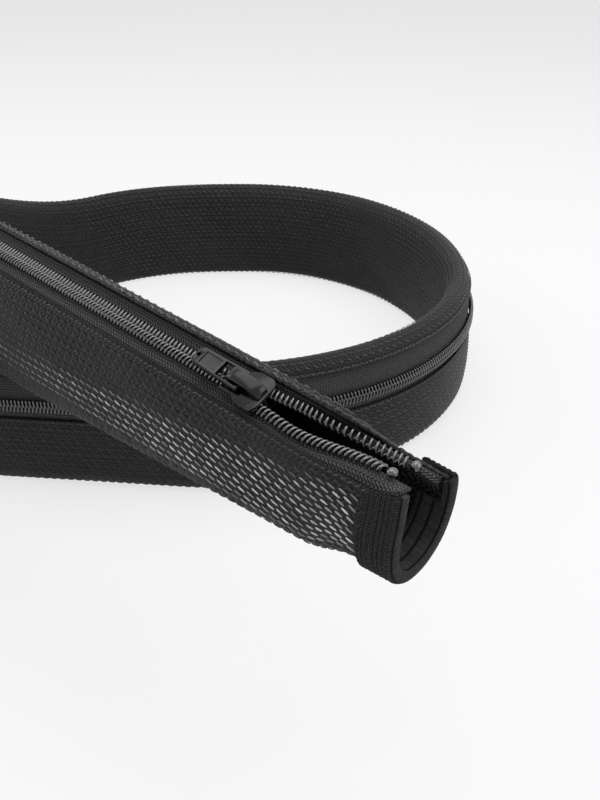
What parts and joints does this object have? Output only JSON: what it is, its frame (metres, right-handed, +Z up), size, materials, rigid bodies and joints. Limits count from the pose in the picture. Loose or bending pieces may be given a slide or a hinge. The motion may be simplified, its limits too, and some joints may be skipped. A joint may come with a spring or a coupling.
{
  "type": "zippered cable sleeve",
  "caption": "Black woven cable sleeve laid in one loop, slit along its length and closed by a coil zip, with a slider and pull tab and knitted bands round its ends.",
  "frame": {"origin": "centre of the bounding box in plan, on the floor under the loop", "axes": "+X along the straight run towards its open mouth, +Z up, the loop's centre hole lies on +Y from the run"},
  "size_m": [0.3232, 0.2866, 0.1068],
  "materials": {
    "woven": "woven polyester yarn, matt with glossy floats",
    "tape": "fine knitted tape, matt",
    "coil": "glossy nylon monofilament",
    "enamel": "glossy black enamel",
    "knit": "ribbed knitted tape, matt"
  },
  "bodies": {
    "sleeve": {"mesh_sleeve": "woven", "front_tape": "tape", "back_tape": "tape", "front_coil": "coil", "back_coil": "coil", "front_coil_end": "coil", "back_coil_end": "coil", "mouth_band": "knit", "far_band": "knit"},
    "slider": {"slider_body": "enamel", "slider_crown": "enamel"},
    "pull": {"pull_tab": "enamel"}
  },
  "joints": [
    {"name": "slider_slide", "type": "slide", "parent": "sleeve", "child": "slider", "axis": [0.9976, 0, -0.0698], "range_m": [-0.11, 0.008], "deforming": ["front_tape", "back_tape", "front_coil", "back_coil"]},
    {"name": "pull_hinge", "type": "hinge", "parent": "slider", "child": "pull", "pos_m": [0.10967, -0.10151, 0.09733], "axis": [0.0283, 0.9139, 0.4049], "range_deg": [0, 140]}
  ]
}
